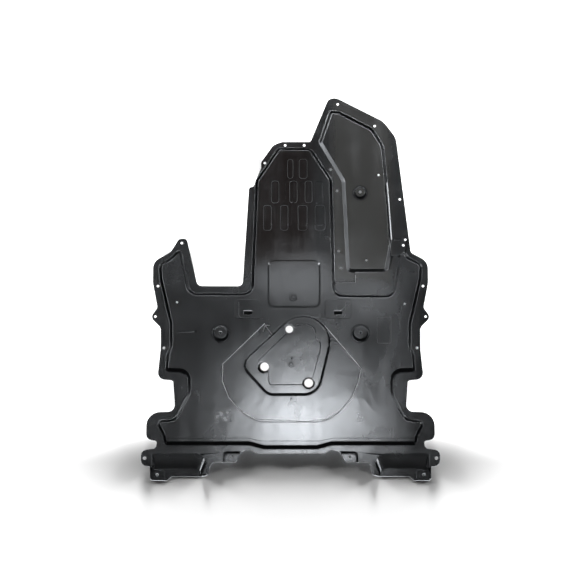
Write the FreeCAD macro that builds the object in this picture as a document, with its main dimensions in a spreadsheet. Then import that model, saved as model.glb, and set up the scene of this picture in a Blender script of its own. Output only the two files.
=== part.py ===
import FreeCAD, Part

# Transmission under cover: one moulded panel, lying with its upper face up.
# The panel is a shell of even wall. A low flange runs round it and carries the fixing holes. The main field
# and the long side field rise from the flange on sloped walls, a rounded access field with three holes
# rises from the main field, and hollow cups take the inner screws. Two tabs and two corner scoops drop
# below the flange along the near edge, and the scoop floors are the lowest faces. X runs across the panel,
# Y from the scoops to the tip of the side field, Z up, and the sizes are millimetres.

import math
import os

SIZES = [
    ("overall_width", 715, "across the two corner lugs"),
    ("overall_length", 938, "from the end pads to the tip"),
    ("wall", 2.5, "of the moulding"),
    ("scoop_depth", 17.5, "of the scoop floors below the flange"),
    ("tab_depth", 6, "of the near tabs below the flange"),
    ("tab_run", 3, "of their sloped walls in plan"),
    ("end_pad_rise", 1.5, "of the screw pads above the scoop floors"),
    ("main_rise", 10, "of the main field above the flange"),
    ("main_run", 8, "of its sloped wall in plan"),
    ("side_rise", 7, "of the side field above the flange"),
    ("side_run", 9, "of its sloped wall in plan"),
    ("access_rise", 6.5, "of the access field above the main field"),
    ("access_run", 6.5, "of its sloped wall in plan"),
    ("plate_sink", 1.5, "of the plate inside the access field"),
    ("pad_rise", 1.8, "of the tower pad above the main field"),
    ("pad_run", 4, "of its sloped sides in plan"),
    ("crease_rise", 1.4, "of the near end of the raised wedge"),
    ("pocket_sink", 0.7, "of the shallow tower pockets"),
    ("near_sink", 0.8, "of the main field's near strip"),
    ("bay_rise", 1.2, "of the bay floor beside the tower above the flange"),
    ("ledge_rise", 2.8, "of the ledge at the right of that bay above the flange"),
    ("slot_pad_rise", 1, "of the pads round the strap slots"),
    ("cup_rise", 11, "of the screw cups"),
    ("cup_foot_radius", 20, "of a main cup at its foot"),
    ("cup_top_radius", 15, "of a main cup at its top"),
    ("side_cup_foot_radius", 15.5, "of the side cup at its foot"),
    ("side_cup_top_radius", 11.5, "of the side cup at its top"),
    ("cup_spacing", 335, "between the two main cups"),
    ("cup_hole", 6.5, "diameter at the top of a cup"),
    ("lug_hole", 8, "diameter in the corner lugs"),
    ("lug_spacing", 697, "between the lug holes"),
    ("tab_hole", 7, "diameter in the near tabs"),
    ("tab_spacing", 285, "between the tab holes"),
    ("end_hole", 7, "diameter in the end pads"),
    ("end_spacing", 637, "between the end pad holes"),
    ("rivet_hole", 6, "diameter of the flange holes that take push rivets"),
    ("rim_hole", 6, "diameter of the other flange holes"),
    ("field_hole", 5, "diameter of the small field holes"),
    ("slot_length", 20, "of the strap slots"),
    ("slot_width", 10, "of the strap slots"),
    ("far_access_hole", 24, "diameter of the far access hole"),
    ("left_access_hole", 28, "diameter of the left access hole"),
    ("right_access_hole", 30, "diameter of the right access hole"),
]

# The outlines below are drawn at this size, and follow the overall sizes.
DRAWN_WIDTH = 715
DRAWN_LENGTH = 938

# What makes up the height of each face above the scoop undersides.
LEVELS = {
    "flange": ["scoop_depth", "wall"],
    "main": ["scoop_depth", "wall", "main_rise"],
    "side": ["scoop_depth", "wall", "side_rise"],
    "access": ["scoop_depth", "wall", "main_rise", "access_rise"],
    "cup": ["scoop_depth", "wall", "main_rise", "cup_rise"],
}

doc = FreeCAD.newDocument("UnderCover")
sheet = doc.addObject("Spreadsheet::Sheet", "sizes")
for row, (word, amount, meaning) in enumerate(SIZES, 1):
    sheet.set("A%d" % row, word)
    sheet.set("B%d" % row, str(amount))
    sheet.set("C%d" % row, meaning)
    sheet.setAlias("B%d" % row, word)
doc.recompute()


def size(word):
    return float(sheet.get(word))


def level(name):
    return "(" + " + ".join("sizes." + word for word in LEVELS[name]) + ")"


# Outlines: each corner is (x, y, radius), clockwise as seen from above.
# Corners from ARC_FROM up are true arcs. Smaller ones are cut in straight pieces no longer than PIECE.

ARC_FROM = 17
PIECE = 7.9


def mirrored(half):
    """A half outline that runs down the right side, joined to its mirror image on the left."""
    return half + [(-x, y, radius) for x, y, radius in reversed(half)]


def scaled(corners):
    wide = size("overall_width") / DRAWN_WIDTH
    long = size("overall_length") / DRAWN_LENGTH
    return [(x * wide, y * long, radius * min(wide, long)) for x, y, radius in corners]


def headings(corners):
    """At each corner, the direction that leads into it and the turn to the next side, in radians."""
    result = []
    for index, (x, y, radius) in enumerate(corners):
        before = corners[index - 1]
        after = corners[(index + 1) % len(corners)]
        into = math.atan2(y - before[1], x - before[0])
        out = math.atan2(after[1] - y, after[0] - x)
        result.append((into, (out - into + math.pi) % (2 * math.pi) - math.pi))
    return result


def moved_in(corners, inset):
    """The outline with each side moved in by the inset, and each radius changed to suit."""
    result = []
    for (x, y, radius), (into, turn) in zip(corners, headings(corners)):
        reach = inset / math.cos(turn / 2)
        middle = into + turn / 2 - math.pi / 2
        if radius > 0:
            radius = max(radius - inset if turn < 0 else radius + inset, 0.5)
        result.append((x + reach * math.cos(middle), y + reach * math.sin(middle), radius))
    return result


def corner_pieces(corners):
    """The number of straight pieces in each corner, or none where it is a true arc."""
    return [
        None if radius >= ARC_FROM else math.ceil(radius * abs(turn) / PIECE)
        for (x, y, radius), (into, turn) in zip(corners, headings(corners))
    ]


def beside(corner, heading, distance):
    """The point that lies the distance away from a corner along the heading."""
    across = corner[0] + distance * math.cos(heading)
    ahead = corner[1] + distance * math.sin(heading)
    return FreeCAD.Vector(across, ahead, 0)


def corner_edges(start, heading, reach, pieces):
    """What joins two sides: an arc, its straight pieces, or nothing at a sharp corner."""
    into, turn = heading
    side = 1 if turn > 0 else -1
    radius = reach / math.tan(abs(turn) / 2)
    centre = start + FreeCAD.Vector(-math.sin(into), math.cos(into), 0) * radius * side
    first = into - side * math.pi / 2
    if pieces is None:
        angles = (first, first + turn) if turn > 0 else (first + turn, first)
        return [Part.ArcOfCircle(Part.Circle(centre, FreeCAD.Vector(0, 0, 1), radius), *angles)]
    points = [start]
    for step in range(pieces):
        angle = first + turn * (step + 1) / pieces
        points.append(centre + FreeCAD.Vector(math.cos(angle), math.sin(angle), 0) * radius)
    return [Part.LineSegment(one, two) for one, two in zip(points, points[1:])]


def rounded_edges(corners, pieces):
    """The sides and corners round the outline. Radii that would meet on a side share its length."""
    count = len(corners)
    turns = headings(corners)
    reaches = [radius * math.tan(abs(turn) / 2) for (x, y, radius), (into, turn) in zip(corners, turns)]
    for index, (x, y, radius) in enumerate(corners):
        following = (index + 1) % count
        room = 0.98 * math.hypot(corners[following][0] - x, corners[following][1] - y)
        total = reaches[index] + reaches[following]
        if total > room:
            reaches[index] *= room / total
            reaches[following] *= room / total
    placed = list(zip(corners, turns, reaches))
    starts = [beside(corner, into, -reach) for corner, (into, turn), reach in placed]
    ends = [beside(corner, into + turn, reach) for corner, (into, turn), reach in placed]
    edges = []
    for index, start in enumerate(starts):
        edges += corner_edges(start, turns[index], reaches[index], pieces[index])
        edges.append(Part.LineSegment(ends[index], starts[(index + 1) % count]))
    return edges


def outline(name, corners, height, inset=0):
    """A sketch of the rounded outline on the plane at the height, which is a rule on the sizes."""
    sketch = doc.addObject("Sketcher::SketchObject", name)
    sketch.addGeometry(rounded_edges(moved_in(corners, inset), corner_pieces(corners)), False)
    sketch.setExpression("Placement.Base.z", height)
    return sketch


def prism(name, corners, foot, thickness, inset=0):
    """The outline drawn up from the foot by the thickness."""
    solid = doc.addObject("Part::Extrusion", name)
    solid.Base = outline(name + "_outline", corners, foot, inset)
    solid.DirMode = "Custom"
    solid.Dir = FreeCAD.Vector(0, 0, 1)
    solid.Solid = True
    solid.setExpression("LengthFwd", thickness)
    return solid


def tapered(name, foot, top):
    """A solid with sloped walls from one outline up to another, each given as outline's arguments."""
    solid = doc.addObject("Part::Loft", name)
    solid.Sections = [outline(name + "_foot", *foot), outline(name + "_top", *top)]
    solid.Solid = True
    solid.Ruled = True
    return solid


def inner_offset(rise, run):
    """How far a sloped wall's inner face lies inside its outer one, once it is lowered by the wall."""
    return size("wall") * (math.hypot(rise, run) - run) / rise


def raised_field(name, corners, foot, rise_word, run_word, spread=0.5):
    """A raised field and the hollow under it. The spread is the share of the run outside the outline."""
    rise, run = size(rise_word), size(run_word)
    top = "%s + sizes.%s" % (foot, rise_word)
    outer, inner = -run * spread, run * (1 - spread)
    gap = inner_offset(rise, run)
    form = tapered(name, (corners, foot, outer), (corners, top, inner))
    hollow = tapered(
        name + "_hollow",
        (corners, foot + " - sizes.wall", outer + gap),
        (corners, top + " - sizes.wall", inner + gap),
    )
    return form, hollow


def fused(name, shapes):
    result = doc.addObject("Part::MultiFuse", name)
    result.Shapes = shapes
    return result


def cut(name, base, tool):
    result = doc.addObject("Part::Cut", name)
    result.Base = base
    result.Tool = tool
    return result


def common(name, shapes):
    result = doc.addObject("Part::MultiCommon", name)
    result.Shapes = shapes
    return result


# Flange outline

half_tab = size("tab_spacing") / 2 * DRAWN_WIDTH / size("overall_width")
LOWER_HALF = [
    (330, 64, 28),
    (330.5, 12, 60),
    (319, -49, 10),
    (336, -73, 12),
    (311, -98, 10),
    (311, -150, 80),
    (319, -224, 16),
    (281, -228, 4),
    (276, -304, 17),
    (345, -306, 34),
    (345, -372, 14),
    (319, -376, 5),
    (322, -394, 6),
    (357.5, -399, 14),
    (357.5, -438, 15),
    (336, -438, 1.5),
    (336, -469, 5),
    (296, -469, 3),
    (284, -459, 4),
    (196, -459, 3),
    (190, -428, 12),
    (half_tab - 12, -427, 8),
    (half_tab - 24, -401, 5),
    (half_tab - 45, -398, 10),
    (half_tab - 62, -407, 10),
]
LEFT_EAR = [(-288, 88, 22), (-268, 121, 9), (-249, 121, 8), (-223, 4, 13), (-115, 3.5, 12)]
TOWER_EDGE = [(-100, 248, 4), (-89, 249, 5), (-71, 295, 6), (-71, 310, 8), (-42, 352, 20), (-22, 360.5, 15)]
SIDE_FIELD_EDGE = [
    (48, 360.5, 4),
    (92, 469, 16),
    (112, 469, 22),
    (224, 411, 45),
    (254, 371, 45),
    (289, 87, 6),
]
FLANGE = scaled(mirrored(LOWER_HALF) + LEFT_EAR + TOWER_EDGE + SIDE_FIELD_EDGE)

# Main field, midway up its wall

MAIN_LOWER_HALF = [
    (313, 54, 12),
    (311, 20, 30),
    (286, -90, 60),
    (285.6, -146, 12),
    (293.5, -164, 12),
    (296.5, -203, 5),
    (242, -205, 25),
    (242, -262, 35),
    (276, -328, 28),
    (320, -329, 8),
    (303, -362, 10),
    (298, -382.5, 3),
    (98, -382.5, 12),
    (64, -392, 12),
]
MAIN_TOP = [
    (-284, 72, 10),
    (-266, 93, 4),
    (-243, -18, 24),
    (-92, -18, 24),
    (-81, 262, 22),
    (-28, 342, 8),
    (47, 341, 12),
    (97, 264, 25),
    (104, -22, 22),
    (246, -23, 22),
    (269, 93, 4),
    (280, 73, 8),
]
MAIN = scaled(mirrored(MAIN_LOWER_HALF) + MAIN_TOP)

# Side field at the foot of its wall, access field midway up its wall, and the plate in the access field

SIDE = scaled([
    (67, 358, 10),
    (94, 438, 8),
    (118, 437, 12),
    (200, 393, 30),
    (226, 350, 40),
    (234, 259, 90),
    (246, 108, 30),
    (233, 36, 12),
    (134, 36, 14),
    (123, 262, 20),
])
ACCESS = scaled([(141, 56, 64), (65, -266, 42), (-54, -266, 30), (-120, -192, 28)])
PLATE = scaled([
    (10, -100, 12),
    (34, -88, 22),
    (62, -104, 14),
    (60, -133, 3),
    (74, -138, 6),
    (71, -160, 12),
    (52, -230, 4),
    (30, -243, 4),
    (-51, -243, 3),
    (-53, -214, 4),
    (-78, -184, 3),
    (-14, -120, 6),
])
WEDGE_FAR = -94
WEDGE_NEAR = -332
WEDGE = [(76, WEDGE_FAR, 2), (170, -196, 4), (150, -264, 150), (98, WEDGE_NEAR, 80)]

# Raised forms and the hollows under them

flange = prism("flange", FLANGE, level("flange") + " - sizes.wall", "sizes.wall")
forms = [flange]
hollows = []
for name, corners, foot, rise, run, spread in [
    ("main_field", MAIN, "flange", "main_rise", "main_run", 0.5),
    ("side_field", SIDE, "flange", "side_rise", "side_run", 0),
    ("access_field", ACCESS, "main", "access_rise", "access_run", 0.5),
]:
    form, hollow = raised_field(name, corners, level(foot), rise, run, spread)
    forms.append(form)
    hollows.append(hollow)

TOWER_AXIS = 8
PAD = scaled([(-55, 66, 16), (72, 66, 16), (72, -52, 16), (-55, -52, 16)])
form, hollow = raised_field("tower_pad", PAD, level("main"), "pad_rise", "pad_run", 0)
forms.append(form)
hollows.append(hollow)

# The wedge is a thin plate tipped about its far edge, so that only its near end stands proud.
wedge_thickness = "sizes.crease_rise + sizes.wall / 4"
wedge_outline = scaled(mirrored([(x, y - WEDGE_FAR, radius) for x, y, radius in WEDGE]))
plate = prism("wedge", wedge_outline, "0 mm", wedge_thickness)
wedge_span = (WEDGE_FAR - WEDGE_NEAR) * size("overall_length") / DRAWN_LENGTH
wedge_tilt = math.degrees(math.atan(size("crease_rise") / wedge_span))
plate.Placement.Rotation = FreeCAD.Rotation(FreeCAD.Vector(1, 0, 0), -wedge_tilt)
plate.Placement.Base.y = WEDGE_FAR * size("overall_length") / DRAWN_LENGTH
plate.setExpression("Placement.Base.z", level("main") + " - (" + wedge_thickness + ")")
forms.append(plate)

# The flange is a little higher in the bay between the tower, the side field and the main field, and higher
# again on a short ledge at its right.
BAY = scaled([
    (155, 44, 0),
    (238, 44, 0),
    (246, 78, 0),
    (276, 78, 0),
    (256, -34, 0),
    (100, -34, 0),
    (100, 12, 0),
    (155, 12, 0),
])
LEDGE = scaled([(240, 117, 0), (279, 117, 0), (274, 78, 0), (240, 78, 0)])
foot = level("flange") + " - sizes.wall / 2"
forms.append(prism("bay_floor", BAY, foot, "sizes.wall / 2 + sizes.bay_rise"))
forms.append(prism("bay_ledge", LEDGE, foot, "sizes.wall / 2 + sizes.ledge_rise"))

SLOT_STATION = -64
SLOT_OFFSET = 108
for word, side in (("left", -1), ("right", 1)):
    x = TOWER_AXIS - 2 + side * SLOT_OFFSET
    pad = scaled([(x - 31, -32, 5), (x + 31, -32, 5), (x + 31, -78, 5), (x - 31, -78, 5)])
    top = level("main") + " - sizes.wall / 2"
    forms.append(prism(word + "_slot_pad", pad, top, "sizes.wall / 2 + sizes.slot_pad_rise"))


def along(axis, station):
    """A rule that places a station drawn in plan along the panel's width or length."""
    if axis == "x":
        return "%s * sizes.overall_width / %d" % (station, DRAWN_WIDTH)
    return "%s * sizes.overall_length / %d" % (station, DRAWN_LENGTH)


def cone(name, foot_radius, top_radius, height, x, y, z):
    solid = doc.addObject("Part::Cone", name)
    solid.setExpression("Radius1", foot_radius)
    solid.setExpression("Radius2", top_radius)
    solid.setExpression("Height", height)
    solid.setExpression("Placement.Base.x", x)
    solid.setExpression("Placement.Base.y", y)
    solid.setExpression("Placement.Base.z", z)
    return solid


CUP_STATION = -115
SIDE_CUP_STATION = 232
CUPS = [
    ("left_cup", "-sizes.cup_spacing / 2", CUP_STATION, "main", "cup"),
    ("right_cup", "sizes.cup_spacing / 2", CUP_STATION, "main", "cup"),
    ("side_cup", "sizes.cup_spacing / 2", SIDE_CUP_STATION, "side", "side_cup"),
]
for name, x, station, foot, kind in CUPS:
    foot_radius, top_radius = "sizes.%s_foot_radius" % kind, "sizes.%s_top_radius" % kind
    run = size(kind + "_foot_radius") - size(kind + "_top_radius")
    gap = inner_offset(size("cup_rise"), run)
    y = along("y", station)
    forms.append(cone(name, foot_radius, top_radius, "sizes.cup_rise", x, y, level(foot)))
    inner = ["%s - %.4f" % (radius, gap) for radius in (foot_radius, top_radius)]
    hollows.append(cone(name + "_hollow", *inner, "sizes.cup_rise", x, y, level(foot) + " - sizes.wall"))

# Scoops and tabs: recesses below the flange, each with a shell one wall thick under it

SCOOP_MOUTH = [
    (201, -408, 26),
    (331, -408, 0),
    (331, -441, 0),
    (345, -441, 0),
    (345, -500, 0),
    (203, -500, 0),
]
SCOOP_FLOOR = [
    (215, -438, 18),
    (325, -438, 0),
    (331, -446, 0),
    (345, -446, 0),
    (345, -500, 0),
    (212, -500, 0),
]
TAB_MOUTH = [
    (half_tab - 30, -402, 0),
    (half_tab + 19, -402, 8),
    (half_tab + 19, -450, 0),
    (half_tab - 30, -450, 0),
]
tab_run = size("tab_run")
TAB_FLOOR = [
    (half_tab - 30, -402 - tab_run, 0),
    (half_tab + 19 - tab_run, -402 - tab_run, 6),
    (half_tab + 19 - tab_run, -450, 0),
    (half_tab - 30, -450, 0),
]
shells = []
for part, mouth, floor, depth in [
    ("scoop", SCOOP_MOUTH, SCOOP_FLOOR, "scoop_depth"),
    ("tab", TAB_MOUTH, TAB_FLOOR, "tab_depth"),
]:
    for word, side in (("left", -1), ("right", 1)):
        name = word + "_" + part
        upper, lower = scaled(mouth), scaled(floor)
        if side < 0:
            upper = [(-x, y, radius) for x, y, radius in reversed(upper)]
            lower = [(-x, y, radius) for x, y, radius in reversed(lower)]
        top = level("flange")
        bottom = "%s - sizes.%s" % (top, depth)
        wall = size("wall")
        hollows.append(tapered(name + "_recess", (lower, bottom), (upper, top)))
        foot = (lower, bottom + " - sizes.wall", -wall)
        shells.append(tapered(name, foot, (upper, top + " - sizes.wall", -wall)))
reach = prism("reach", FLANGE, "0 mm", level("flange"))
forms.append(common("lower_shells", [reach, fused("shells", shells)]))

shell = cut("shell", fused("solid_forms", forms), fused("all_hollows", hollows))

# What is added on the shell: the screw pads in the scoops and the backing of the sunk plate

additions = [shell]
end_pads = []
for word, side in (("left", -1), ("right", 1)):
    middle = side * size("end_spacing") / 2 * DRAWN_WIDTH / size("overall_width")
    pad = [(middle - 18, -443, 5), (middle + 18, -443, 5), (middle + 18, -480, 0), (middle - 18, -480, 0)]
    rise = "sizes.wall / 2 + sizes.end_pad_rise"
    end_pads.append(prism(word + "_end_pad", scaled(pad), "sizes.wall / 2", rise))
additions.append(common("end_pads", [reach, fused("pads", end_pads)]))
plate_face = level("access") + " - sizes.plate_sink"
additions.append(prism("plate_backing", PLATE, plate_face + " - sizes.wall", "sizes.wall", -size("wall")))

# What is cut through: the plate recess, the pockets, the slots and the holes

cuts = [prism("plate_recess", PLATE, plate_face, "sizes.plate_sink + sizes.wall")]
POCKET_ROWS = [(233, 54, 20, 35, -37), (176, 49, 24, 40, -49)]
for row, (y, height, width, pitch, first) in enumerate(POCKET_ROWS, 1):
    for column in range(4):
        x = first + pitch * column
        left, right = x - width / 2, x + width / 2
        far, near = y + height / 2, y - height / 2
        pocket = scaled([(left, far, 5), (right, far, 5), (right, near, 5), (left, near, 5)])
        name = "pocket_%d_%d" % (row, column + 1)
        floor = level("main") + " - sizes.pocket_sink"
        cuts.append(prism(name, pocket, floor, "sizes.pocket_sink + sizes.wall"))

NEAR_STRIP = scaled(mirrored([(70, -378, 0), (100, -371, 0), (330, -371, 0), (330, -402, 0)]))
floor = level("main") + " - sizes.near_sink"
cuts.append(prism("near_strip", NEAR_STRIP, floor, "sizes.near_sink + sizes.wall"))

for word, side in (("left", -1), ("right", 1)):
    slot = doc.addObject("Part::Box", word + "_slot")
    slot.setExpression("Length", "sizes.slot_length")
    slot.setExpression("Width", "sizes.slot_width")
    slot.setExpression("Height", level("cup"))
    middle = along("x", TOWER_AXIS - 2 + side * SLOT_OFFSET)
    slot.setExpression("Placement.Base.x", middle + " - sizes.slot_length / 2")
    slot.setExpression("Placement.Base.y", along("y", SLOT_STATION) + " - sizes.slot_width / 2")
    cuts.append(slot)

# The small flange and field holes are drawn with this many sides, and the others round.
SIDES = {"rim_hole": 12, "field_hole": 8}
HOLES = [
    ("lug_hole", "-sizes.lug_spacing / 2", -418),
    ("lug_hole", "sizes.lug_spacing / 2", -418),
    ("tab_hole", "-sizes.tab_spacing / 2", -414),
    ("tab_hole", "sizes.tab_spacing / 2", -414),
    ("end_hole", "-sizes.end_spacing / 2", -455),
    ("end_hole", "sizes.end_spacing / 2", -455),
    ("cup_hole", "-sizes.cup_spacing / 2", CUP_STATION),
    ("cup_hole", "sizes.cup_spacing / 2", CUP_STATION),
    ("cup_hole", "sizes.cup_spacing / 2", SIDE_CUP_STATION),
    ("far_access_hole", along("x", -3), -106),
    ("left_access_hole", along("x", -65), -200),
    ("right_access_hole", along("x", 43), -238),
    ("rivet_hole", along("x", -324), -71),
    ("rivet_hole", along("x", 324), -71),
    ("rivet_hole", along("x", -318), 4),
    ("rivet_hole", along("x", 318), 4),
    ("rivet_hole", along("x", -303), -148),
    ("rivet_hole", along("x", 303), -148),
    ("rim_hole", along("x", -261), 110),
    ("rim_hole", along("x", 271), 104),
    ("rim_hole", along("x", 276), 118),
    ("rim_hole", along("x", 263), 218),
    ("rim_hole", along("x", 116), 90),
    ("rim_hole", along("x", 121), 48),
    ("rim_hole", along("x", 114), 454),
    ("rim_hole", along("x", 203), 400),
    ("rim_hole", along("x", -13), 352),
    ("rim_hole", along("x", 33), 352),
    ("rim_hole", along("x", -62), 308),
    ("rim_hole", along("x", 97), 292),
    ("rim_hole", along("x", 112), 239),
    ("field_hole", along("x", 212), 277),
    ("field_hole", along("x", 182), 66),
    ("field_hole", along("x", -272), -38),
    ("field_hole", along("x", 274), -42),
    ("field_hole", along("x", 3), -177),
    ("field_hole", along("x", 2), -275),
    ("field_hole", along("x", 6), -27),
]
for number, (word, x, station) in enumerate(HOLES, 1):
    if word in SIDES:
        hole = doc.addObject("Part::Prism", "%s_%d" % (word, number))
        hole.Polygon = SIDES[word]
        hole.setExpression("Circumradius", "sizes.%s / 2" % word)
    else:
        hole = doc.addObject("Part::Cylinder", "%s_%d" % (word, number))
        hole.setExpression("Radius", "sizes.%s / 2" % word)
    hole.setExpression("Height", level("cup"))
    hole.setExpression("Placement.Base.x", x)
    hole.setExpression("Placement.Base.y", along("y", station))
    cuts.append(hole)

panel = cut("cover_panel", fused("body", additions), fused("openings", cuts))
panel.Label = "cover_panel"
doc.recompute()

# Check every object, then write the panel

for item in doc.Objects:
    if "Invalid" in item.State or "Error" in item.State:
        raise SystemExit("%s failed: %s" % (item.Name, item.State))
shape = panel.Shape
if shape.isNull() or not shape.isValid() or len(shape.Solids) != 1:
    raise SystemExit("the panel is not one valid solid")
print("panel: %d faces, %.0f cm3, box %s" % (len(shape.Faces), shape.Volume / 1000, shape.BoundBox))
os.makedirs("parts", exist_ok=True)
shape.exportStep("parts/cover_panel.step")
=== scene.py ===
# %% [markdown]
# # A moulded transmission under cover
# The real part is one sheet of black plastic, pressed from pellets in a steel tool. It bolts under a
# car to keep stones and spray off the gearbox. This lesson takes the sheet from its CAD solid, softens
# its edges, adds the small moulded marks, and spends most of its effort on the plastic itself, because
# a black part is seen almost only by what its surface does to the light.

import math

import bmesh
import bpy
from mathutils import Matrix, Vector
from mathutils.bvhtree import BVHTree


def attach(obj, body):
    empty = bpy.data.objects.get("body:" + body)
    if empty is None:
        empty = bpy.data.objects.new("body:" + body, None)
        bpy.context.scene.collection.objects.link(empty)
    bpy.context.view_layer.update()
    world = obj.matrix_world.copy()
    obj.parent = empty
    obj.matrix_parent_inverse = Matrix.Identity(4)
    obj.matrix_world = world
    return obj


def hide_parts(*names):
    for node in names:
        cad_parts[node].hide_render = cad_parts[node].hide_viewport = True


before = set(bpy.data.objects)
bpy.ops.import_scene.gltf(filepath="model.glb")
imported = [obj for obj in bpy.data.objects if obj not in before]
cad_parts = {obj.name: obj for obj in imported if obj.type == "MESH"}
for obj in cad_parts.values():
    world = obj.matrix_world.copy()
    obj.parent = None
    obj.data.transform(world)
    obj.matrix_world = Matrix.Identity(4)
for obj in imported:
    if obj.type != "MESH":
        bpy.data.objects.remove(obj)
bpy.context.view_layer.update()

# %% [markdown]
# All sizes here are in metres, in the CAD frame: X across the panel, Y from the scoops to the tip, Z
# up. The heights of the main faces are named once, so that each small piece can sit on the face that
# carries it.

# %% Heights of the faces
MILLIMETRE = 0.001
FLANGE_FACE = 0.020
MAIN_FACE = 0.030
PLATE_FACE = 0.035
TOWER_PAD_FACE = 0.0318
NODE = "cover_panel"
print("main face stands", round((MAIN_FACE - FLANGE_FACE) * 1000), "mm above the flange")

# %% [markdown]
# ## Small tools for making pieces
# Every piece ends as one mesh object at the origin that rides on the single body. A helper keeps that
# the same for all of them. Faces under a wide angle are shaded smooth, so that turned shapes look
# turned.

# %% Turn a bmesh into a finished piece
pieces = []


def finish_piece(name, shape, smooth_angle=40):
    bmesh.ops.recalc_face_normals(shape, faces=shape.faces)
    mesh = bpy.data.meshes.new(name)
    shape.to_mesh(mesh)
    shape.free()
    piece = bpy.data.objects.new(name, mesh)
    bpy.context.scene.collection.objects.link(piece)
    mesh.shade_smooth()
    mesh.set_sharp_from_angle(angle=math.radians(smooth_angle))
    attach(piece, "root")
    pieces.append(piece)
    print(name, len(mesh.polygons), "faces")
    return piece


# %% [markdown]
# ## The moulding
# The CAD mesh arrives as loose triangles with knife-sharp edges. A real moulding has no sharp edge, and
# the thin bright lines along its steps are the light caught by small fillets. So a copy is merged, and
# a Bevel modifier rounds its edges. A weight on each edge keeps the fillet small where a step is low,
# so that one wall has room for two fillets, and makes it wide on a gentle slope. The rim of the pad on
# the tower is too shallow to round. Its edges are marked sharp, so that the flat faces beside it stay
# flat.

# %% Copy and merge the CAD mesh
FILLET = 0.8 * MILLIMETRE
SOFT_FILLET = 2.0 * MILLIMETRE

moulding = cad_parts[NODE].data.copy()
moulding.name = "panel_moulding"
shape = bmesh.new()
shape.from_mesh(moulding)
bmesh.ops.remove_doubles(shape, verts=shape.verts, dist=0.01 * MILLIMETRE)
skin_tree = BVHTree.FromBMesh(shape)
print("merged moulding:", len(shape.faces), "faces")

# %% Weigh the edges for their fillets
# A fold over SHARP gets the small fillet, and one from SOFT to SHARP the wide one. Edges that climb a wall
# stay as they are. From CRISP to SOFT, a fold between a level face and a slope is only marked sharp.
SHARP = math.radians(32)
SOFT = math.radians(25)
CRISP = math.radians(18)
ROOM_SHARE = 0.4
CLIMB_SHARE = 0.5
LEVEL = 0.995


def wall_height(face):
    """The height of a wall face along its slope, or nothing for a level face."""
    rise = abs(face.normal.z)
    if rise > LEVEL:
        return None
    heights = [vert.co.z for vert in face.verts]
    return (max(heights) - min(heights)) / math.sqrt(1 - rise * rise)


weights = shape.edges.layers.float.new("bevel_weight_edge")
rounded = 0
for edge in shape.edges:
    edge.smooth = True
    if len(edge.link_faces) != 2:
        continue
    if CRISP < edge.calc_face_angle() < SOFT:
        levels = [wall_height(face) is None for face in edge.link_faces]
        edge.smooth = levels[0] == levels[1]
    if edge.calc_face_angle() < SOFT:
        continue
    start, end = (vert.co for vert in edge.verts)
    if abs(start.z - end.z) > CLIMB_SHARE * (start - end).length:
        continue
    walls = [wall_height(face) for face in edge.link_faces]
    room = min([height for height in walls if height is not None], default=0)
    wanted = FILLET if edge.calc_face_angle() > SHARP else SOFT_FILLET
    edge[weights] = min(wanted, ROOM_SHARE * room) / SOFT_FILLET
    rounded += 1
for face in shape.faces:
    face.smooth = True
shape.to_mesh(moulding)
shape.free()
print("edges to round:", rounded)

# %% Make the moulding a piece with soft edges
panel = bpy.data.objects.new("panel_moulding", moulding)
bpy.context.scene.collection.objects.link(panel)
fillet = panel.modifiers.new("fillets", "BEVEL")
fillet.limit_method = "WEIGHT"
fillet.width = SOFT_FILLET
fillet.segments = 3
fillet.profile = 0.5
fillet.use_clamp_overlap = False
fillet.loop_slide = False
flats = panel.modifiers.new("flat_faces", "WEIGHTED_NORMAL")
flats.mode = "FACE_AREA"
flats.weight = 100
flats.keep_sharp = True
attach(panel, "root")
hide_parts(NODE)
pieces.append(panel)
print("panel moulding replaces", NODE)

# %% [markdown]
# ## Moulded marks
# A tool leaves small raised things on the sheet: rings round two of the small holes, an arrow, and a thin
# rib with a round end. They are a fraction of a millimetre to a millimetre and a half high, and each is
# sunk a little way into the face that carries it.

# %% Rings round the small holes
SUNK = 0.4
RING_SLOPE = 1.2
RING_STEPS = 40


def ring(name, x, y, foot, outer, inner, height):
    """A low turned ring in millimetres, on a face at foot: a few points of profile, spun once round."""
    profile = [(inner, -SUNK), (inner, height), (outer - RING_SLOPE * height, height), (outer, -SUNK)]
    shape = bmesh.new()
    corners = [shape.verts.new((radius * MILLIMETRE, 0, rise * MILLIMETRE)) for radius, rise in profile]
    edges = [shape.edges.new(pair) for pair in zip(corners, corners[1:] + corners[:1])]
    bmesh.ops.spin(
        shape, geom=corners + edges, cent=(0, 0, 0), axis=(0, 0, 1), dvec=(0, 0, 0),
        angle=2 * math.pi, steps=RING_STEPS, use_merge=True, use_duplicate=False,
    )
    bmesh.ops.remove_doubles(shape, verts=shape.verts, dist=0.01 * MILLIMETRE)
    bmesh.ops.translate(shape, verts=shape.verts, vec=(x * MILLIMETRE, y * MILLIMETRE, foot))
    return finish_piece(name, shape, 30)


ring("pad_hole_ring", 6, -27, TOWER_PAD_FACE, outer=9.5, inner=5.6, height=1.3)
ring("plate_boss_ring", 1.4, -191.6, PLATE_FACE, outer=8.2, inner=4.6, height=1.2)

# %% Bars, used for the arrow and the rib
BAR_EDGE = 0.3


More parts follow.
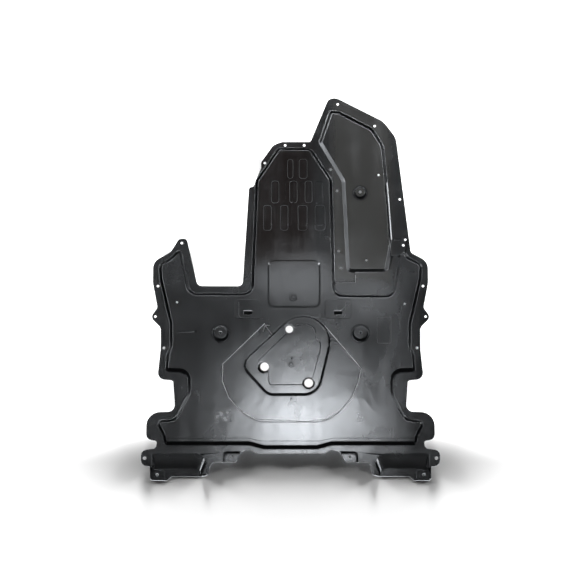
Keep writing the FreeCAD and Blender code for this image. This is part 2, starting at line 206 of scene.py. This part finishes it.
def bar(shape, start, end, width, foot, height):
    """A low bar between two points in plan, in millimetres, with its top edges bevelled."""
    run = Vector((end[0] - start[0], end[1] - start[1]))
    made = bmesh.ops.create_cube(shape, size=1)["verts"]
    size = (run.length * MILLIMETRE, width * MILLIMETRE, (height + SUNK) * MILLIMETRE)
    bmesh.ops.scale(shape, verts=made, vec=size)
    top_edges = [edge for edge in {edge for vert in made for edge in vert.link_edges}
                 if all(vert.co.z > 0 for vert in edge.verts)]
    turn = Matrix.Rotation(math.atan2(run.y, run.x), 3, "Z")
    bmesh.ops.rotate(shape, verts=made, cent=(0, 0, 0), matrix=turn)
    middle = Vector(((start[0] + end[0]) / 2, (start[1] + end[1]) / 2, 0)) * MILLIMETRE
    lift = Vector((0, 0, foot + (height - SUNK) / 2 * MILLIMETRE))
    bmesh.ops.translate(shape, verts=made, vec=middle + lift)
    bmesh.ops.bevel(
        shape, geom=top_edges, offset=BAR_EDGE * min(width, 2 * height) * MILLIMETRE, offset_type="OFFSET",
        affect="EDGES", segments=2, profile=0.5, material=-1,
    )


ARROW_TIP = (-60.7, -95.2)
ARROW_ENDS = [(-42.2, -121.5), (-49.2, -95.4), (-66.0, -110.5)]
shape = bmesh.new()
for end in ARROW_ENDS:
    bar(shape, ARROW_TIP, end, width=2.4, foot=MAIN_FACE, height=1.6)
finish_piece("arrow_mark", shape)

# %% The thin rib with a round end, at the left
RIB_START, RIB_STOP = (-272, -113.6), (-231, -110.5)
shape = bmesh.new()
bar(shape, RIB_START, RIB_STOP, width=1.4, foot=MAIN_FACE, height=0.7)
finish_piece("left_rib", shape)
ring("left_rib_end", -228, -110.4, MAIN_FACE, outer=4.2, inner=1.6, height=0.9)

# %% [markdown]
# Thin lines run over the sheet: a bead round the access field, the outline of the plate in it, short
# lines at the slots and the bay, and the faint outlines of pockets on the tower. Each is a curve with a
# small round bevel, turned into a mesh. A ray that is cast down at short steps finds the height of the
# sheet, so the line lies on it everywhere, and it is sunk so far that only the top of its round stands
# above the plastic.

# %% Lines that lie on the sheet
ABOVE = 100


def sheet_height(x, y):
    """The height of the sheet's top under a point, all in millimetres."""
    hit = skin_tree.ray_cast(Vector((x, y, ABOVE)) * MILLIMETRE, Vector((0, 0, -1)))[0]
    return hit.z / MILLIMETRE


def laid(points, step=6.0):
    """Points along the line at short steps, each with the height of the sheet there."""
    placed = []
    for (x0, y0), (x1, y1) in zip(points, points[1:]):
        count = max(1, round(math.hypot(x1 - x0, y1 - y0) / step))
        for number in range(count):
            part = number / count
            placed.append((x0 + part * (x1 - x0), y0 + part * (y1 - y0)))
    placed.append(points[-1])
    return [(x, y, sheet_height(x, y)) for x, y in placed]


def beads(name, lines, radius, stands):
    """Half-sunk round beads along lines of points in millimetres, as one mesh."""
    drawing = bpy.data.curves.new(name + "_lines", "CURVE")
    drawing.dimensions = "3D"
    drawing.bevel_depth = radius * MILLIMETRE
    drawing.bevel_resolution = 2
    drawing.use_fill_caps = True
    for line in lines:
        placed = laid(line)
        spline = drawing.splines.new("POLY")
        spline.points.add(len(placed) - 1)
        for point, (x, y, z) in zip(spline.points, placed):
            point.co = (x * MILLIMETRE, y * MILLIMETRE, (z - radius + stands) * MILLIMETRE, 1)
    curve = bpy.data.objects.new(name + "_lines", drawing)
    swept = bpy.data.meshes.new_from_object(curve)
    shape = bmesh.new()
    shape.from_mesh(swept)
    bpy.data.objects.remove(curve)
    bpy.data.meshes.remove(swept)
    bmesh.ops.remove_doubles(shape, verts=shape.verts, dist=0.01 * MILLIMETRE)
    return finish_piece(name, shape)


# %% The wedge's edge, and the outline of the plate
WEDGE_RIGHT = [(82, -96), (169, -201), (163, -232), (148, -272), (118, -306), (84, -325), (40, -331)]
WEDGE_LEFT_TOP = [(-162, -190), (-62, -91)]
wedge_line = WEDGE_RIGHT + [(-x, y) for x, y in reversed(WEDGE_RIGHT[2:-1])] + WEDGE_LEFT_TOP
beads("wedge_bead", [wedge_line], radius=1.0, stands=0.5)
BAY_LINE = [(107, 12), (156, 12), (156, 31)]
beads("bay_edge", [BAY_LINE], radius=0.9, stands=0.4)

PLATE_LINES = [
    [(-76, -180), (-67, -169), (-33, -137), (-13, -116)],
    [
        (14, -95), (35, -93), (51, -100), (59, -114), (63, -129),
        (71, -142), (71, -154), (66, -174), (60, -196),
    ],
    [(28, -241), (-51, -241), (-54, -227), (-52, -208)],
]
beads("plate_outline", PLATE_LINES, radius=0.8, stands=0.35)

SLOT_AXIS = 4
SLOT_PAD_LINE = [(-124, -38), (-124, -70), (-120, -76), (-66, -79)]
mirrored_line = [(2 * SLOT_AXIS - x, y) for x, y in SLOT_PAD_LINE]
beads("slot_pad_lines", [SLOT_PAD_LINE, mirrored_line], radius=0.8, stands=0.25)

# %% [markdown]
# The pockets on the tower are three rows of rounded frames. They stand out by a fifth of a millimetre,
# so that they show only faintly. The frame beside the right cup is made in the same way.

# %% Pockets on the tower


def frame_line(left, right, low, high, corner):
    """A closed rounded rectangle in plan, in millimetres."""
    points = []
    for x, y, first in (
        (right - corner, high - corner, 0), (left + corner, high - corner, 90),
        (left + corner, low + corner, 180), (right - corner, low + corner, 270),
    ):
        for turn in range(0, 91, 30):
            angle = math.radians(first + turn)
            points.append((x + corner * math.cos(angle), y + corner * math.sin(angle)))
    return points + points[:1]


POCKETS = [(left, right, 139, 201) for left, right in ((-65, -46), (-24, -6), (18, 40), (59, 83))]
POCKETS += [(left, right, 207, 261) for left, right in ((-46, -28), (-2, 16), (35, 52))]
POCKETS += [(left, right, 267, 315) for left, right in ((-7, 6), (21, 40))]
beads("tower_pockets", [frame_line(*pocket, corner=6) for pocket in POCKETS], radius=1.0, stands=0.2)
beads("side_frame", [frame_line(208, 241, -139, -75, corner=3)], radius=0.7, stands=0.2)

# %% [markdown]
# ## Black plastic
# The sheet is one moulding, so it has one finish. Up close a black moulding is never even. The tool
# leaves a fine grain, the flow of the melt leaves long satin streaks, handling leaves scuffs and faint
# dust, and thick places sink a little, which bends the reflections. Each effect is a small node group
# that can be reused. All of them read Object coordinates, so they stay on the part from every side.

# %% A helper for building node groups


def node_group(name, inputs, outputs):
    """An empty shader group with named float or colour sockets, and its two end nodes."""
    group = bpy.data.node_groups.new(name, "ShaderNodeTree")
    for socket, kind, value in inputs:
        made = group.interface.new_socket(name=socket, in_out="INPUT", socket_type=kind)
        if value is not None:
            made.default_value = value
    for socket, kind in outputs:
        group.interface.new_socket(name=socket, in_out="OUTPUT", socket_type=kind)
    return group, group.nodes.new("NodeGroupInput"), group.nodes.new("NodeGroupOutput")


def add(tree, kind, settings=(), sockets=()):
    """A node with its settings, and values or links for its input sockets."""
    node = tree.nodes.new(kind)
    for key, value in dict(settings).items():
        setattr(node, key, value)
    for key, value in dict(sockets).items():
        if isinstance(value, bpy.types.NodeSocket):
            tree.links.new(value, node.inputs[key])
        else:
            node.inputs[key].default_value = value
    return node


def maths(tree, operation, first, second=0.0, third=0.0, clamp=False):
    """The result of one Math node. Each value may be a number or a link."""
    return add(
        tree, "ShaderNodeMath", {"operation": operation, "use_clamp": clamp},
        {0: first, 1: second, 2: third},
    ).outputs[0]


def ramp(tree, value, low, high, to_low=0.0, to_high=1.0):
    """The value from low to high turned smoothly into the range to_low to to_high, and held there."""
    return add(
        tree, "ShaderNodeMapRange", {"interpolation_type": "SMOOTHSTEP"},
        {"Value": value, "From Min": low, "From Max": high, "To Min": to_low, "To Max": to_high},
    ).outputs["Result"]


def noise(tree, place, scale, detail=2.0, roughness=0.5, distortion=0.0):
    """A noise from 0 to 1 at a place, with more and smaller spots at a larger scale."""
    return add(
        tree, "ShaderNodeTexNoise", {"noise_dimensions": "3D"},
        {
            "Vector": place, "Scale": scale, "Detail": detail,
            "Roughness": roughness, "Distortion": distortion,
        },
    ).outputs["Fac"]


print("group helpers ready")

# %% [markdown]
# The grain is a fine leather-like noise that only bends the light, and the sink marks are broad soft
# dips. Both give a height, which a Bump node in the material turns into a normal.

# %% Moulded grain and sink marks
group, start, end = node_group(
    "moulded_grain",
    [("Position", "NodeSocketVector", None), ("Grain size", "NodeSocketFloat", 900.0)],
    [("Grain", "NodeSocketFloat"), ("Sink", "NodeSocketFloat")],
)
fine = noise(group, start.outputs["Position"], start.outputs["Grain size"], 2.0, 0.6)
group.links.new(fine, end.inputs["Grain"])
broad = noise(group, start.outputs["Position"], 9.0, 2.0, 0.45, 0.6)
group.links.new(broad, end.inputs["Sink"])
moulded_grain = group
print("group:", group.name)

# %% [markdown]
# The flow marks are long streaks. A noise that is stretched ten times along one direction draws them,
# and a second one across it breaks them up. The mask lifts the roughness a little, as satin bands in
# the gloss.

# %% Flow marks
group, start, end = node_group(
    "flow_marks",
    [("Position", "NodeSocketVector", None), ("Turn", "NodeSocketVector", None)],
    [("Streaks", "NodeSocketFloat"), ("Clouds", "NodeSocketFloat")],
)
turned = add(
    group, "ShaderNodeMapping", {"vector_type": "POINT"},
    {"Vector": start.outputs["Position"], "Rotation": start.outputs["Turn"], "Scale": (26.0, 2.4, 6.0)},
).outputs["Vector"]
streak = noise(group, turned, 1.0, 4.0, 0.62, 0.9)
cloud = noise(group, start.outputs["Position"], 6.5, 4.0, 0.6, 0.8)
group.links.new(ramp(group, streak, 0.36, 0.66), end.inputs["Streaks"])
group.links.new(ramp(group, cloud, 0.32, 0.68), end.inputs["Clouds"])
flow_marks = group
print("group:", group.name)

# %% [markdown]
# Scuffs are short thin scratches in many directions, and dust is a pale speckle that lies only on faces
# that look up. Both are masks from 0 to 1, and the material decides how strongly each one shows.

# %% Scuffs and dust
group, start, end = node_group(
    "handling_wear",
    [("Position", "NodeSocketVector", None), ("Normal", "NodeSocketVector", None)],
    [("Scuffs", "NodeSocketFloat"), ("Dust", "NodeSocketFloat")],
)
SCRATCH_RUNS = ((0.5, 60.0), (-0.7, 45.0), (1.4, 75.0))
scratches = None
for number, (angle, spread) in enumerate(SCRATCH_RUNS):
    stretch = (spread * 6, spread / 5, 8.0)
    turned = add(
        group, "ShaderNodeMapping", {"vector_type": "POINT"},
        {"Vector": start.outputs["Position"], "Rotation": (0.0, 0.0, angle), "Scale": stretch},
    ).outputs["Vector"]
    line = ramp(group, noise(group, turned, 1.0, 1.0, 0.5, 0.2), 0.70, 0.78)
    patch = ramp(group, noise(group, start.outputs["Position"], 11.0 + 4 * number, 1.0), 0.52, 0.62)
    single = maths(group, "MULTIPLY", line, patch)
    scratches = single if scratches is None else maths(group, "MAXIMUM", scratches, single)
group.links.new(scratches, end.inputs["Scuffs"])
up = add(group, "ShaderNodeSeparateXYZ", (), {"Vector": start.outputs["Normal"]}).outputs["Z"]
speck = ramp(group, noise(group, start.outputs["Position"], 420.0, 2.0, 0.7), 0.60, 0.74)
film = ramp(group, noise(group, start.outputs["Position"], 14.0, 5.0, 0.65), 0.45, 0.75)
dusty = maths(group, "MULTIPLY", maths(group, "MULTIPLY_ADD", speck, 0.6, film), ramp(group, up, 0.5, 0.95))
group.links.new(maths(group, "MULTIPLY", dusty, 1.0, clamp=True), end.inputs["Dust"])
handling_wear = group
print("group:", group.name)

# %% [markdown]
# Some regions of the sheet are painted apart. The tall tower is a browner black, and its darker tone is
# painted shade. The long side field is a warm grey, painted lighter as a painted sheen. The scoops and
# the right edge are painted a deeper black, as painted shade. Each region is a soft box, measured from
# Object coordinates, whose edges a ramp makes gradual.

# %% Soft regions
group, start, end = node_group(
    "soft_box",
    [
        ("Position", "NodeSocketVector", None),
        ("Centre", "NodeSocketVector", None),
        ("Half size", "NodeSocketVector", None),
        ("Softness", "NodeSocketFloat", 0.03),
    ],
    [("Mask", "NodeSocketFloat")],
)
offset = add(group, "ShaderNodeVectorMath", {"operation": "SUBTRACT"},
             {0: start.outputs["Position"], 1: start.outputs["Centre"]}).outputs["Vector"]
distance = add(group, "ShaderNodeVectorMath", {"operation": "ABSOLUTE"}, {0: offset}).outputs["Vector"]
inside = add(group, "ShaderNodeVectorMath", {"operation": "SUBTRACT"},
             {0: start.outputs["Half size"], 1: distance}).outputs["Vector"]
parts = add(group, "ShaderNodeSeparateXYZ", (), {"Vector": inside})
nearest = maths(group, "MINIMUM", parts.outputs["X"], parts.outputs["Y"])
soft = maths(group, "DIVIDE", nearest, start.outputs["Softness"])
group.links.new(ramp(group, soft, 0.0, 1.0), end.inputs["Mask"])
soft_box = group
print("group:", group.name)

# %% [markdown]
# The material lays its colours one over another: black, the worn clouds, the regions, then dust and
# scuffs. The sloped walls and the feet of the steps are painted near black and hardly shine, a painted
# shade that stands for the dark room they mirror on the real panel. An Ambient Occlusion node finds the
# feet, and the slope finds the walls.

# %% The plastic itself
plastic = bpy.data.materials.new("black_plastic")
plastic.use_nodes = True
tree = plastic.node_tree
skin = tree.nodes["Principled BSDF"]
place = tree.nodes.new("ShaderNodeTexCoord").outputs["Object"]
geometry = tree.nodes.new("ShaderNodeNewGeometry").outputs
facing = geometry["Normal"]


def use(group, **sockets):
    """A node group placed in the plastic at Object coordinates, with values for its other sockets."""
    node = tree.nodes.new("ShaderNodeGroup")
    node.node_tree = group
    tree.links.new(place, node.inputs["Position"])
    for key, value in sockets.items():
        socket = node.inputs[key.replace("_", " ")]
        if isinstance(value, bpy.types.NodeSocket):
            tree.links.new(value, socket)
        else:
            socket.default_value = value
    return node


def blend_colour(base, over, amount):
    """The base colour with another over it, by an amount from 0 to 1. Any of them may be a link."""
    node = add(tree, "ShaderNodeMix", {"data_type": "RGBA"})
    for socket, value in ((node.inputs[0], amount), (node.inputs[6], base), (node.inputs[7], over)):
        if isinstance(value, bpy.types.NodeSocket):
            tree.links.new(value, socket)
        else:
            socket.default_value = value
    return node.outputs[2]


BLACK = (0.014, 0.014, 0.014, 1.0)
WORN_BLACK = (0.023, 0.0233, 0.0235, 1.0)
TOWER_SHADE_BROWN = (0.0070, 0.0045, 0.0036, 1.0)
SIDE_SHEEN_GREY = (0.026, 0.0245, 0.0212, 1.0)
PAINTED_SHADE_BLACK = (0.003, 0.003, 0.0032, 1.0)
DUST_GREY = (0.16, 0.16, 0.155, 1.0)

grain = use(moulded_grain)
flow = use(flow_marks, Turn=(0.0, 0.0, 0.35))
wear = use(handling_wear, Normal=facing)
tower = use(soft_box, Centre=(-0.02, 0.20, 0.0), Half_size=(0.095, 0.17, 1.0), Softness=0.05)
side = use(soft_box, Centre=(0.17, 0.24, 0.0), Half_size=(0.085, 0.24, 1.0), Softness=0.03)
scoops = use(soft_box, Centre=(0.0, -0.50, 0.0), Half_size=(1.0, 0.085, 1.0), Softness=0.02)
right_edge = use(soft_box, Centre=(0.42, -0.20, 0.0), Half_size=(0.16, 0.24, 1.0), Softness=0.06)

# Painted shade: the feet of the steps, found by Ambient Occlusion, and the steep walls are painted near
# black.
FOOT_REACH = 0.010
openness = add(
    tree, "ShaderNodeAmbientOcclusion", {"samples": 16},
    {"Distance": FOOT_REACH, "Normal": geometry["True Normal"]},
).outputs["AO"]
feet = ramp(tree, openness, 0.78, 0.92, 1.0, 0.0)
upward = add(tree, "ShaderNodeSeparateXYZ", (), {"Vector": facing}).outputs["Z"]
flatness = maths(tree, "ABSOLUTE", upward)
walls = maths(tree, "MAXIMUM", feet, ramp(tree, flatness, 0.78, 0.86, 1.0, 0.0))

left_stain = use(soft_box, Centre=(-0.162, -0.318, 0.0), Half_size=(0.022, 0.016, 1.0), Softness=0.008)
right_stain = use(soft_box, Centre=(0.165, -0.320, 0.0), Half_size=(0.012, 0.014, 1.0), Softness=0.006)
stains = maths(tree, "MAXIMUM", left_stain.outputs["Mask"], right_stain.outputs["Mask"])
blots = ramp(tree, noise(tree, place, 90.0, 1.0, 0.5), 0.38, 0.72)
stains = maths(tree, "MULTIPLY", stains, ramp(tree, upward, 0.5, 0.9))
rubbed = maths(tree, "MULTIPLY", stains, blots)

colour = blend_colour(BLACK, WORN_BLACK, flow.outputs["Clouds"])
# Painted shade darkens the tower, the scoops, the right edge, the walls and the feet of the steps, and a
# painted sheen lightens the side field.
colour = blend_colour(colour, TOWER_SHADE_BROWN, tower.outputs["Mask"])
colour = blend_colour(colour, SIDE_SHEEN_GREY, side.outputs["Mask"])
colour = blend_colour(colour, PAINTED_SHADE_BLACK, maths(tree, "MULTIPLY", scoops.outputs["Mask"], 0.85))
colour = blend_colour(colour, PAINTED_SHADE_BLACK, maths(tree, "MULTIPLY", right_edge.outputs["Mask"], 0.8))
colour = blend_colour(colour, PAINTED_SHADE_BLACK, walls)
colour = blend_colour(colour, DUST_GREY, maths(tree, "MULTIPLY", rubbed, 0.30))
colour = blend_colour(colour, DUST_GREY, maths(tree, "MULTIPLY", wear.outputs["Dust"], 0.02))
colour = blend_colour(colour, DUST_GREY, maths(tree, "MULTIPLY", wear.outputs["Scuffs"], 0.025))
tree.links.new(colour, skin.inputs["Base Color"])
print("plastic colours set")

# %% [markdown]
# Roughness does most of the work on black. It starts low, and the streaks, clouds, scuffs, dust and
# stains each dull it a little. The bump is very weak, because a strong one would look like cast iron.

# %% Roughness and bump
rough = maths(tree, "MULTIPLY_ADD", flow.outputs["Streaks"], 0.04, 0.13)
rough = maths(tree, "MULTIPLY_ADD", flow.outputs["Clouds"], 0.03, rough)
rough = maths(tree, "MULTIPLY_ADD", wear.outputs["Scuffs"], 0.03, rough)
rough = maths(tree, "MULTIPLY_ADD", wear.outputs["Dust"], 0.03, rough)
rough = maths(tree, "MULTIPLY_ADD", rubbed, 0.20, rough)
rough = maths(tree, "MULTIPLY_ADD", side.outputs["Mask"], 0.06, rough, clamp=True)
tree.links.new(rough, skin.inputs["Roughness"])
tree.links.new(maths(tree, "MULTIPLY_ADD", walls, -0.72, 0.8), skin.inputs["Specular IOR Level"])

sunk = add(
    tree, "ShaderNodeBump", (),
    {"Strength": 0.25, "Distance": 0.004, "Height": grain.outputs["Sink"]},
)
grained = add(
    tree, "ShaderNodeBump", (),
    {
        "Strength": 0.02, "Distance": 0.0003,
        "Height": grain.outputs["Grain"], "Normal": sunk.outputs["Normal"],
    },
)
tree.links.new(grained.outputs["Normal"], skin.inputs["Normal"])

for piece in pieces:
    piece.data.materials.clear()
    piece.data.materials.append(plastic)
print(len(pieces), "pieces have the plastic")

# %% [markdown]
# The thin lines stand proud. Each is painted a pale, dull colour, a painted highlight for the light that
# its round top catches.

# %% Lines painted pale as highlights
for name, tone in (
    ("wedge_bead", 0.32), ("bay_edge", 0.14), ("plate_outline", 0.05), ("arrow_mark", 0.10),
    ("tower_pockets", 0.010), ("side_frame", 0.030), ("slot_pad_lines", 0.022),
):
    painted_highlight_line = bpy.data.materials.new("painted_highlight_" + name)
    painted_highlight_line.use_nodes = True
    face = painted_highlight_line.node_tree.nodes["Principled BSDF"]
    face.inputs["Base Color"].default_value = (tone, tone, 0.98 * tone, 1.0)
    face.inputs["Roughness"].default_value = 0.35
    face.inputs["Specular IOR Level"].default_value = 0.3
    bpy.data.objects[name].data.materials[0] = painted_highlight_line
    print(name, "painted highlight tone", tone)

# %% [markdown]
# ## The stage
# The floor is a wide pale plane at the height of the scoop undersides, which the panel rests on. Light
# Path makes it white to the camera and dark to other rays, so that it doesn't light the black walls. It
# keeps the cast shadow, and a painted shadow, a grey patch at both sides of the scoops, widens it. A
# painted glow lights the paper outside the panel, where the cast shadow would grey it, and under the
# three access holes. Under the middle the floor is painted dark, a painted shadow where a real floor gets
# little light. From below, the floor is clear.

# %% Floor
FLOOR_REACH = 30
shape = bmesh.new()
bmesh.ops.create_grid(shape, x_segments=1, y_segments=1, size=FLOOR_REACH)
floor_mesh = bpy.data.meshes.new("floor")
shape.to_mesh(floor_mesh)
shape.free()
floor = bpy.data.objects.new("floor", floor_mesh)
bpy.context.scene.collection.objects.link(floor)

PAPER = (0.90, 0.90, 0.90, 1.0)
DIM = (0.02, 0.02, 0.02, 1.0)
SHADOW_GREY = (0.12, 0.12, 0.12, 1.0)

paper = bpy.data.materials.new("floor_paper")
paper.use_nodes = True
nodes = paper.node_tree
nodes.nodes.clear()
rays = nodes.nodes.new("ShaderNodeLightPath").outputs
seen = maths(nodes, "MAXIMUM", rays["Is Camera Ray"], rays["Is Transmission Ray"])
floor_place = nodes.nodes.new("ShaderNodeTexCoord").outputs["Object"]
# Painted shadow: the floor under the middle of the panel is painted dark.
under = add(nodes, "ShaderNodeGroup", {"node_tree": soft_box}, {
    "Position": floor_place, "Centre": (0.0, -0.18, 0.0), "Half size": (0.24, 0.20, 1.0), "Softness": 0.02,
})
tone = add(nodes, "ShaderNodeMix", {"data_type": "RGBA"}, {
    0: under.outputs["Mask"], 6: PAPER, 7: DIM,
})

# %% The painted shadow beside the scoops
PATCH_SCALE = (2.0, 8.5, 0.0)
PATCH_CENTRE = (0.0, -3.6, 0.0)
scaled = add(nodes, "ShaderNodeVectorMath", {"operation": "MULTIPLY"}, {0: floor_place, 1: PATCH_SCALE})
far_off = add(nodes, "ShaderNodeVectorMath", {"operation": "DISTANCE"}, {
    0: scaled.outputs["Vector"], 1: PATCH_CENTRE,
})
sideways = add(nodes, "ShaderNodeSeparateXYZ", (), {"Vector": floor_place}).outputs["X"]
painted_shadow_beside_scoops = maths(nodes, "MULTIPLY", ramp(nodes, far_off.outputs["Value"], 1.15, 0.45),
                      ramp(nodes, maths(nodes, "ABSOLUTE", sideways), 0.24, 0.34))
tone = add(nodes, "ShaderNodeMix", {"data_type": "RGBA"}, {
    0: painted_shadow_beside_scoops, 6: tone.outputs[2], 7: SHADOW_GREY,
})
white = add(nodes, "ShaderNodeBsdfDiffuse", (), {"Color": tone.outputs[2]})
dim = add(nodes, "ShaderNodeBsdfDiffuse", (), {"Color": DIM})
sheet = add(nodes, "ShaderNodeMixShader", (), {0: seen, 1: dim.outputs[0], 2: white.outputs[0]})
print("floor colours set")

# %% The painted glow outside the panel and under the access holes
GLOW_BOXES = (
    ((-0.67, -0.17), (0.37, 0.30)),
    ((0.67, -0.19), (0.37, 0.28)),
    ((-0.55, 0.36), (0.475, 0.27)),
    ((0.61, 0.33), (0.42, 0.30)),
    ((0.00, 0.47), (1.00, 0.15)),
    ((-0.17, 0.06), (0.065, 0.07)),
    ((-0.34, -0.27), (0.075, 0.055)),
    ((0.34, -0.27), (0.075, 0.055)),
)
GLOW_DISCS = ((-0.003, -0.098, 0.0090), (-0.062, -0.190, 0.0105), (0.0435, -0.230, 0.0105))
along = add(nodes, "ShaderNodeSeparateXYZ", (), {"Vector": floor_place}).outputs["Y"]
# Painted light: the glow fills in the cast shadow on the paper beside the panel and lights the floor seen
# through the access holes.
lift = 0.0
for centre, half in GLOW_BOXES:
    box = add(nodes, "ShaderNodeGroup", {"node_tree": soft_box}, {
        "Position": floor_place, "Centre": (*centre, 0.0), "Half size": (*half, 1.0), "Softness": 0.012,
    })
    lift = maths(nodes, "MAXIMUM", lift, box.outputs["Mask"])
lift = maths(nodes, "MULTIPLY", lift, ramp(nodes, along, -0.43, -0.34))
lift = maths(nodes, "MULTIPLY", lift, maths(nodes, "SUBTRACT", 1.0, painted_shadow_beside_scoops))
for x, y, radius in GLOW_DISCS:
    away = add(nodes, "ShaderNodeVectorMath", {"operation": "DISTANCE"}, {0: floor_place, 1: (x, y, 0.0)})
    disc = ramp(nodes, away.outputs["Value"], radius + 0.001, radius - 0.001)
    lift = maths(nodes, "MAXIMUM", lift, disc)
lift = maths(nodes, "MULTIPLY", lift, seen)
glow = add(nodes, "ShaderNodeEmission", (), {"Color": (1.0, 1.0, 1.0, 1.0), "Strength": lift})
both = add(nodes, "ShaderNodeAddShader", (), {0: sheet.outputs[0], 1: glow.outputs[0]})
behind = nodes.nodes.new("ShaderNodeNewGeometry").outputs["Backfacing"]
clear = nodes.nodes.new("ShaderNodeBsdfTransparent").outputs[0]
one_way = add(nodes, "ShaderNodeMixShader", (), {0: behind, 1: both.outputs[0], 2: clear})
surface = nodes.nodes.new("ShaderNodeOutputMaterial")
nodes.links.new(one_way.outputs[0], surface.inputs["Surface"])
floor_mesh.materials.append(paper)
print("floor laid")

# %% [markdown]
# ## Light
# A black sheet is seen by what it mirrors. Lamps of falling size, one in front of another, hang over
# the near half of the panel and draw its wide sheen with no edge. Smaller ones draw the fainter sheens.
# A fill from above is kept out of the reflections, and one from below lights the underside. Four long
# thin strips lie low round the panel, so that only the small fillets mirror them, as fine bright lines.
# Three low suns from beyond the tip throw the shadow. Light linking gives the suns to the floor alone
# and the lamps to the part alone.

# %% Lamps
STRIP_SIZE = (5.0, 0.25)
LAMP_TINT = (0.91, 0.95, 1.0)
LAYER_GAP = 0.002
part_only = bpy.data.collections.new("lit_part")
for piece in pieces:
    part_only.objects.link(piece)
floor_only = bpy.data.collections.new("lit_floor")
floor_only.objects.link(floor)


def place_lamp(name, lamp, lit, place, aim, flags=()):
    """A lamp at a place, turned to a point, that lights only one collection."""
    holder = bpy.data.objects.new(name, lamp)
    for flag in flags:
        setattr(holder, flag, False)
    holder.light_linking.receiver_collection = lit
    holder.light_linking.blocker_collection = part_only
    holder.location = place
    holder.rotation_euler = (Vector(aim) - Vector(place)).to_track_quat("-Z", "Y").to_euler()
    bpy.context.scene.collection.objects.link(holder)


def soft_lamp(name, place, size, radiance, shape="ELLIPSE", flags=()):
    """An area lamp aimed straight down, or at the part's middle from afar, with the given radiance."""
    lamp = bpy.data.lights.new(name, "AREA")
    lamp.shape = shape
    lamp.size, lamp.size_y = size
    lamp.color = LAMP_TINT
    share = math.pi / 4 if shape == "ELLIPSE" else 1.0
    lamp.energy = radiance * math.pi * share * size[0] * size[1]
    overhead = abs(place[0]) + abs(place[1]) < 1
    aim = (place[0], place[1], 0.0) if overhead else (0.0, 0.0, 0.0)
    place_lamp(name, lamp, part_only, place, aim, flags)


SHEEN = ((0.46, 0.46, 0.9), (0.36, 0.36, 2.2), (0.27, 0.26, 4.5), (0.19, 0.17, 6.5), (0.10, 0.09, 5.5))
for number, (wide, deep, radiance) in enumerate(SHEEN):
    lamp_place = (0.025, -0.125, 1.0 + LAYER_GAP * number)
    soft_lamp("sheen_lamp_%d" % number, lamp_place, (wide, deep), radiance)
SECOND_SHEEN = ((0.26, 0.13, 1.0), (0.18, 0.08, 1.2))
for number, (wide, deep, radiance) in enumerate(SECOND_SHEEN):
    lamp_place = (0.02, 0.15, 0.6 + LAYER_GAP * number)
    soft_lamp("second_sheen_lamp_%d" % number, lamp_place, (wide, deep), radiance)
soft_lamp("third_sheen_lamp", (0.190, 0.11, 0.6), (0.12, 0.13), 1.6)
soft_lamp("fourth_sheen_lamp", (0.19, -0.125, 1.02), (0.16, 0.12), 2.2)
soft_lamp("top_fill", (0.0, 0.0, 3.0), (1.5, 1.5), 11, "RECTANGLE", ("visible_glossy",))
soft_lamp("under_fill", (0.0, 0.0, -3.0), (3.0, 3.0), 9, "RECTANGLE")
for name, strip_place, radiance in (
    ("far_strip", (0.0, 2.0, 2.3), 55),
    ("near_strip", (0.0, -2.7, 0.98), 6),
    ("left_strip", (-2.5, 0.0, 1.0), 45),
    ("right_strip", (2.5, 0.0, 1.0), 45),
):
    soft_lamp(name, strip_place, STRIP_SIZE, radiance, "RECTANGLE", ("visible_diffuse",))
print("lamps set")

# %% Suns for the shadow
SUN_SPREAD = math.radians(18)
SUN_DISTANCE = 5
for name, turn, height, strength in (
    ("far_sun", 90, 13, 9.4), ("left_sun", 150, 10, 4.7), ("right_sun", 30, 10, 4.7),
):
    sun = bpy.data.lights.new(name, "SUN")
    sun.energy = strength
    sun.angle = SUN_SPREAD
    around, rise = math.radians(turn), math.radians(height)
    reach = SUN_DISTANCE * math.cos(rise)
    sun_place = (reach * math.cos(around), reach * math.sin(around), SUN_DISTANCE * math.sin(rise))
    place_lamp(name, sun, floor_only, sun_place, (0.0, 0.0, 0.0))
print("suns set")

# %% [markdown]
# The world is white to the camera, as the floor is. To the part it is a dim room, a little brighter
# near the horizon.

# %% World
ROOM_LOW, ROOM_HIGH = 0.05, 0.04
world = bpy.data.worlds.new("studio")
world.use_nodes = True
sky = world.node_tree
height = add(sky, "ShaderNodeSeparateXYZ", (),
             {"Vector": sky.nodes.new("ShaderNodeTexCoord").outputs["Generated"]}).outputs["Z"]
paths = sky.nodes.new("ShaderNodeLightPath").outputs
behind_part = maths(sky, "MAXIMUM", paths["Is Camera Ray"], paths["Is Transmission Ray"])
strength = maths(sky, "MAXIMUM", behind_part, ramp(sky, height, 0.10, 0.70, ROOM_LOW, ROOM_HIGH))
sky.links.new(strength, sky.nodes["Background"].inputs["Strength"])
sky.nodes["Background"].inputs["Color"].default_value = (1.0, 1.0, 1.0, 1.0)
bpy.context.scene.world = world
bpy.context.scene.view_settings.view_transform = "Standard"
print("world set")

# %% [markdown]
# ## Camera
# The photograph looks almost straight down, tipped 13 degrees towards the scoops, from far away. A long
# lens at 20 metres gives the same nearly parallel view. The lens is worked out from the width that the
# frame holds.

# %% Camera
TILT = math.radians(13)
DISTANCE = 20.0
FRAME_WIDTH = 1.3848
aim = Vector((-0.0048, -0.0022, FLANGE_FACE))
camera_data = bpy.data.cameras.new("photo_camera")
camera_data.sensor_width = 36
camera_data.lens = camera_data.sensor_width * DISTANCE / FRAME_WIDTH
camera_data.clip_end = 200
camera = bpy.data.objects.new("photo_camera", camera_data)
camera.location = aim + Vector((0, -math.sin(TILT), math.cos(TILT))) * DISTANCE
camera.rotation_euler = (TILT, 0, 0)
bpy.context.scene.collection.objects.link(camera)
bpy.context.scene.camera = camera
print("lens", round(camera_data.lens), "mm")
